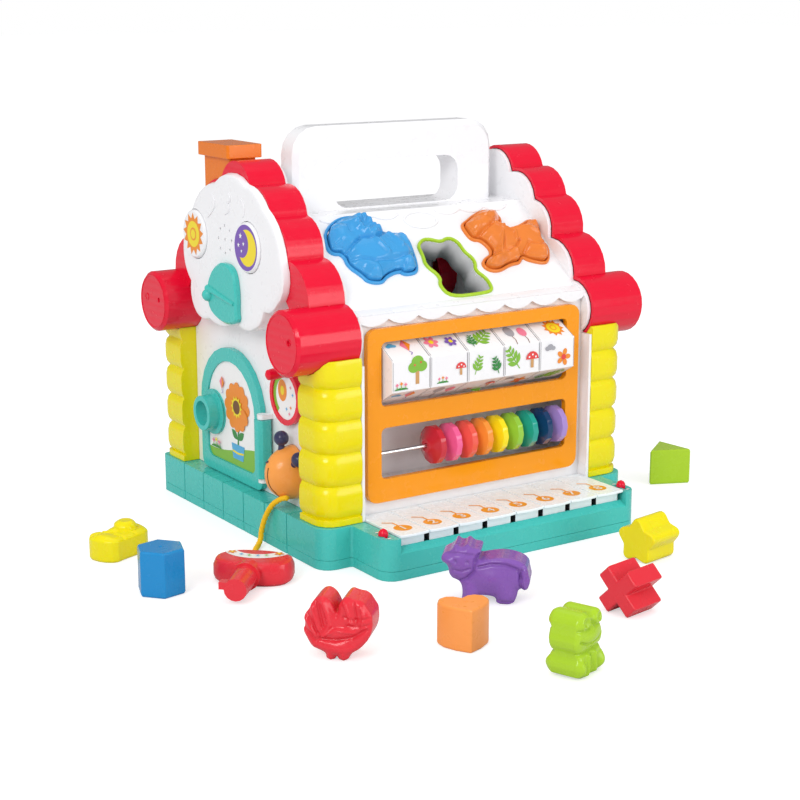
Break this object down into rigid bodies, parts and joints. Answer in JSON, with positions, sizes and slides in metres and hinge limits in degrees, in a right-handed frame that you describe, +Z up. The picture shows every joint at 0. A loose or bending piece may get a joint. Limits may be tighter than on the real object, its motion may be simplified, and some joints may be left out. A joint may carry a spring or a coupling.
{
  "type": "shape sorter house",
  "caption": "Plastic toy house for sorting shapes, with a hinged door, turning picture blocks, sliding beads, piano keys, a roof with animal holes, a carry handle and loose blocks.",
  "frame": {"origin": "centre of the underside of the base, on the surface that the house stands on", "axes": "+X to the right along the front with the keys, +Y to the back, +Z up; the keys and windows face -Y and the door faces -X"},
  "size_m": [0.5035, 0.5088, 0.3035],
  "materials": {
    "white_plastic": "gloss",
    "teal_plastic": "gloss",
    "yellow_plastic": "gloss",
    "red_plastic": "gloss",
    "orange_plastic": "gloss",
    "grey_plastic": "satin",
    "chimney_orange": "gloss",
    "bright_rod": "bright",
    "head_orange": "gloss",
    "yellow_cord": "braided",
    "blue_block": "gloss",
    "orange_block": "gloss",
    "lime_block": "gloss",
    "red_block": "gloss",
    "purple_block": "gloss",
    "yellow_block": "gloss",
    "peach_block": "gloss",
    "bead_1": "gloss",
    "bead_2": "gloss",
    "bead_3": "gloss",
    "bead_4": "gloss",
    "bead_5": "gloss",
    "bead_6": "gloss",
    "bead_7": "gloss",
    "bead_8": "gloss",
    "bead_9": "gloss"
  },
  "bodies": {
    "house": {"base_tray": "teal_plastic", "bottom_cover": "teal_plastic", "battery_cover": "teal_plastic", "column_front_left": "yellow_plastic", "column_front_right": "yellow_plastic", "column_rear_left": "yellow_plastic", "column_rear_right": "yellow_plastic", "house_shell": "white_plastic", "sound_unit": "grey_plastic", "roof_shell": "white_plastic", "verge_left": "red_plastic", "verge_right": "red_plastic", "chimney": "chimney_orange", "window_frame": "orange_plastic", "picture_shaft": "grey_plastic", "bead_rod": "bright_rod", "animal_head": "head_orange", "cord": "yellow_cord"},
    "door": {"door": "teal_plastic"},
    "lock_barrel": {"lock_barrel": "teal_plastic"},
    "dial_ring": {"dial_ring": "red_plastic"},
    "leaf_knob": {"leaf_knob": "teal_plastic"},
    "sun_button": {"sun_button": "white_plastic"},
    "moon_button": {"moon_button": "white_plastic"},
    "switch_left": {"switch_left": "red_plastic"},
    "switch_right": {"switch_right": "red_plastic"},
    "toy_key": {"toy_key": "red_plastic"},
    "key_1": {"key_1": "white_plastic"},
    "key_2": {"key_2": "white_plastic"},
    "key_3": {"key_3": "white_plastic"},
    "key_4": {"key_4": "white_plastic"},
    "key_5": {"key_5": "white_plastic"},
    "key_6": {"key_6": "white_plastic"},
    "key_7": {"key_7": "white_plastic"},
    "key_8": {"key_8": "white_plastic"},
    "picture_block_1": {"picture_block_1": "white_plastic"},
    "picture_block_2": {"picture_block_2": "white_plastic"},
    "picture_block_3": {"picture_block_3": "white_plastic"},
    "picture_block_4": {"picture_block_4": "white_plastic"},
    "picture_block_5": {"picture_block_5": "white_plastic"},
    "bead_1": {"bead_1": "bead_1"},
    "bead_2": {"bead_2": "bead_2"},
    "bead_3": {"bead_3": "bead_3"},
    "bead_4": {"bead_4": "bead_4"},
    "bead_5": {"bead_5": "bead_5"},
    "bead_6": {"bead_6": "bead_6"},
    "bead_7": {"bead_7": "bead_7"},
    "bead_8": {"bead_8": "bead_8"},
    "bead_9": {"bead_9": "bead_9"},
    "block_sheep": {"block_sheep": "blue_block"},
    "block_dog": {"block_dog": "orange_block"},
    "block_frog": {"block_frog": "lime_block"},
    "block_cow": {"block_cow": "purple_block"},
    "block_rooster": {"block_rooster": "red_block"},
    "block_duck": {"block_duck": "yellow_block"},
    "block_heart": {"block_heart": "peach_block"},
    "block_hexagon": {"block_hexagon": "blue_block"},
    "block_triangle": {"block_triangle": "lime_block"},
    "block_cross": {"block_cross": "red_block"},
    "block_star": {"block_star": "yellow_block"}
  },
  "joints": [
    {"name": "door_hinge", "type": "hinge", "parent": "house", "child": "door", "pos_m": [-0.1308, -0.027, 0.0315], "axis": [0, 0, 1], "range_deg": [0, 105]},
    {"name": "lock_turn", "type": "hinge", "parent": "door", "child": "lock_barrel", "pos_m": [-0.1287, 0.056, 0.079], "axis": [1, 0, 0], "range_deg": [0, 90]},
    {"name": "dial_turn", "type": "hinge", "parent": "house", "child": "dial_ring", "pos_m": [-0.1243, -0.056, 0.113], "axis": [1, 0, 0], "continuous": true},
    {"name": "leaf_turn", "type": "hinge", "parent": "house", "child": "leaf_knob", "pos_m": [-0.1413, 0.003, 0.1835], "axis": [1, 0, 0], "range_deg": [-35, 35]},
    {"name": "sun_press", "type": "slide", "parent": "house", "child": "sun_button", "axis": [1, 0, 0], "range_m": [0, 0.0015], "stiffness_N_per_m": 300, "springref_m": -0.002},
    {"name": "moon_press", "type": "slide", "parent": "house", "child": "moon_button", "axis": [1, 0, 0], "range_m": [0, 0.0015], "stiffness_N_per_m": 300, "springref_m": -0.002},
    {"name": "key_press_1", "type": "hinge", "parent": "house", "child": "key_1", "pos_m": [-0.0896, -0.1155, 0.0225], "axis": [1, 0, 0], "range_deg": [0, 2.5], "stiffness_Nm_per_rad": 0.05, "springref_deg": -20.05},
    {"name": "key_press_2", "type": "hinge", "parent": "house", "child": "key_2", "pos_m": [-0.064, -0.1155, 0.0225], "axis": [1, 0, 0], "range_deg": [0, 2.5], "stiffness_Nm_per_rad": 0.05, "springref_deg": -20.05},
    {"name": "key_press_3", "type": "hinge", "parent": "house", "child": "key_3", "pos_m": [-0.0384, -0.1155, 0.0225], "axis": [1, 0, 0], "range_deg": [0, 2.5], "stiffness_Nm_per_rad": 0.05, "springref_deg": -20.05},
    {"name": "key_press_4", "type": "hinge", "parent": "house", "child": "key_4", "pos_m": [-0.0128, -0.1155, 0.0225], "axis": [1, 0, 0], "range_deg": [0, 2.5], "stiffness_Nm_per_rad": 0.05, "springref_deg": -20.05},
    {"name": "key_press_5", "type": "hinge", "parent": "house", "child": "key_5", "pos_m": [0.0128, -0.1155, 0.0225], "axis": [1, 0, 0], "range_deg": [0, 2.5], "stiffness_Nm_per_rad": 0.05, "springref_deg": -20.05},
    {"name": "key_press_6", "type": "hinge", "parent": "house", "child": "key_6", "pos_m": [0.0384, -0.1155, 0.0225], "axis": [1, 0, 0], "range_deg": [0, 2.5], "stiffness_Nm_per_rad": 0.05, "springref_deg": -20.05},
    {"name": "key_press_7", "type": "hinge", "parent": "house", "child": "key_7", "pos_m": [0.064, -0.1155, 0.0225], "axis": [1, 0, 0], "range_deg": [0, 2.5], "stiffness_Nm_per_rad": 0.05, "springref_deg": -20.05},
    {"name": "key_press_8", "type": "hinge", "parent": "house", "child": "key_8", "pos_m": [0.0896, -0.1155, 0.0225], "axis": [1, 0, 0], "range_deg": [0, 2.5], "stiffness_Nm_per_rad": 0.05, "springref_deg": -20.05},
    {"name": "switch_left_slide", "type": "slide", "parent": "house", "child": "switch_left", "axis": [0, 1, 0], "range_m": [-0.0022, 0.0022]},
    {"name": "switch_right_slide", "type": "slide", "parent": "house", "child": "switch_right", "axis": [0, 1, 0], "range_m": [-0.0022, 0.0022]},
    {"name": "picture_turn_1", "type": "hinge", "parent": "house", "child": "picture_block_1", "pos_m": [-0.0664, -0.1104, 0.13535], "axis": [1, 0, 0], "continuous": true},
    {"name": "picture_turn_2", "type": "hinge", "parent": "house", "child": "picture_block_2", "pos_m": [-0.0332, -0.1104, 0.13535], "axis": [1, 0, 0], "continuous": true},
    {"name": "picture_turn_3", "type": "hinge", "parent": "house", "child": "picture_block_3", "pos_m": [0, -0.1104, 0.13535], "axis": [1, 0, 0], "continuous": true},
    {"name": "picture_turn_4", "type": "hinge", "parent": "house", "child": "picture_block_4", "pos_m": [0.0332, -0.1104, 0.13535], "axis": [1, 0, 0], "continuous": true},
    {"name": "picture_turn_5", "type": "hinge", "parent": "house", "child": "picture_block_5", "pos_m": [0.0664, -0.1104, 0.13535], "axis": [1, 0, 0], "continuous": true},
    {"name": "bead_slide_9", "type": "slide", "parent": "house", "child": "bead_9", "axis": [1, 0, 0], "range_m": [-0.0043, 0]},
    {"name": "bead_slide_8", "type": "slide", "parent": "bead_9", "child": "bead_8", "axis": [1, 0, 0], "range_m": [-0.0043, 0]},
    {"name": "bead_slide_7", "type": "slide", "parent": "bead_8", "child": "bead_7", "axis": [1, 0, 0], "range_m": [-0.0043, 0]},
    {"name": "bead_slide_6", "type": "slide", "parent": "bead_7", "child": "bead_6", "axis": [1, 0, 0], "range_m": [-0.0043, 0]},
    {"name": "bead_slide_5", "type": "slide", "parent": "bead_6", "child": "bead_5", "axis": [1, 0, 0], "range_m": [-0.0043, 0]},
    {"name": "bead_slide_4", "type": "slide", "parent": "bead_5", "child": "bead_4", "axis": [1, 0, 0], "range_m": [-0.0043, 0]},
    {"name": "bead_slide_3", "type": "slide", "parent": "bead_4", "child": "bead_3", "axis": [1, 0, 0], "range_m": [-0.0043, 0]},
    {"name": "bead_slide_2", "type": "slide", "parent": "bead_3", "child": "bead_2", "axis": [1, 0, 0], "range_m": [-0.0043, 0]},
    {"name": "bead_slide_1", "type": "slide", "parent": "bead_2", "child": "bead_1", "axis": [1, 0, 0], "range_m": [-0.0043, 0]},
    {"name": "sheep_lift", "type": "slide", "parent": "house", "child": "block_sheep", "axis": [0, -0.6445, 0.7646], "range_m": [0, 0.04]},
    {"name": "dog_lift", "type": "slide", "parent": "house", "child": "block_dog", "axis": [0, -0.6445, 0.7646], "range_m": [0, 0.04]},
    {"name": "frog_lift", "type": "slide", "parent": "house", "child": "block_frog", "axis": [0, 0, 1], "range_m": [0, 0.06]},
    {"name": "cow_lift", "type": "slide", "parent": "house", "child": "block_cow", "axis": [0, 0, 1], "range_m": [0, 0.06]},
    {"name": "rooster_lift", "type": "slide", "parent": "house", "child": "block_rooster", "axis": [0, 0, 1], "range_m": [0, 0.06]},
    {"name": "duck_lift", "type": "slide", "parent": "house", "child": "block_duck", "axis": [0, 0, 1], "range_m": [0, 0.06]},
    {"name": "heart_lift", "type": "slide", "parent": "house", "child": "block_heart", "axis": [0, 0, 1], "range_m": [0, 0.06]},
    {"name": "hexagon_lift", "type": "slide", "parent": "house", "child": "block_hexagon", "axis": [0, 0, 1], "range_m": [0, 0.06]},
    {"name": "triangle_lift", "type": "slide", "parent": "house", "child": "block_triangle", "axis": [0, 0, 1], "range_m": [0, 0.06]},
    {"name": "cross_lift", "type": "slide", "parent": "house", "child": "block_cross", "axis": [0, 0, 1], "range_m": [0, 0.06]},
    {"name": "star_lift", "type": "slide", "parent": "house", "child": "block_star", "axis": [0, 0, 1], "range_m": [0, 0.06]},
    {"name": "toy_key_lift", "type": "slide", "parent": "house", "child": "toy_key", "axis": [0, 0, 1], "range_m": [0, 0.06]}
  ]
}
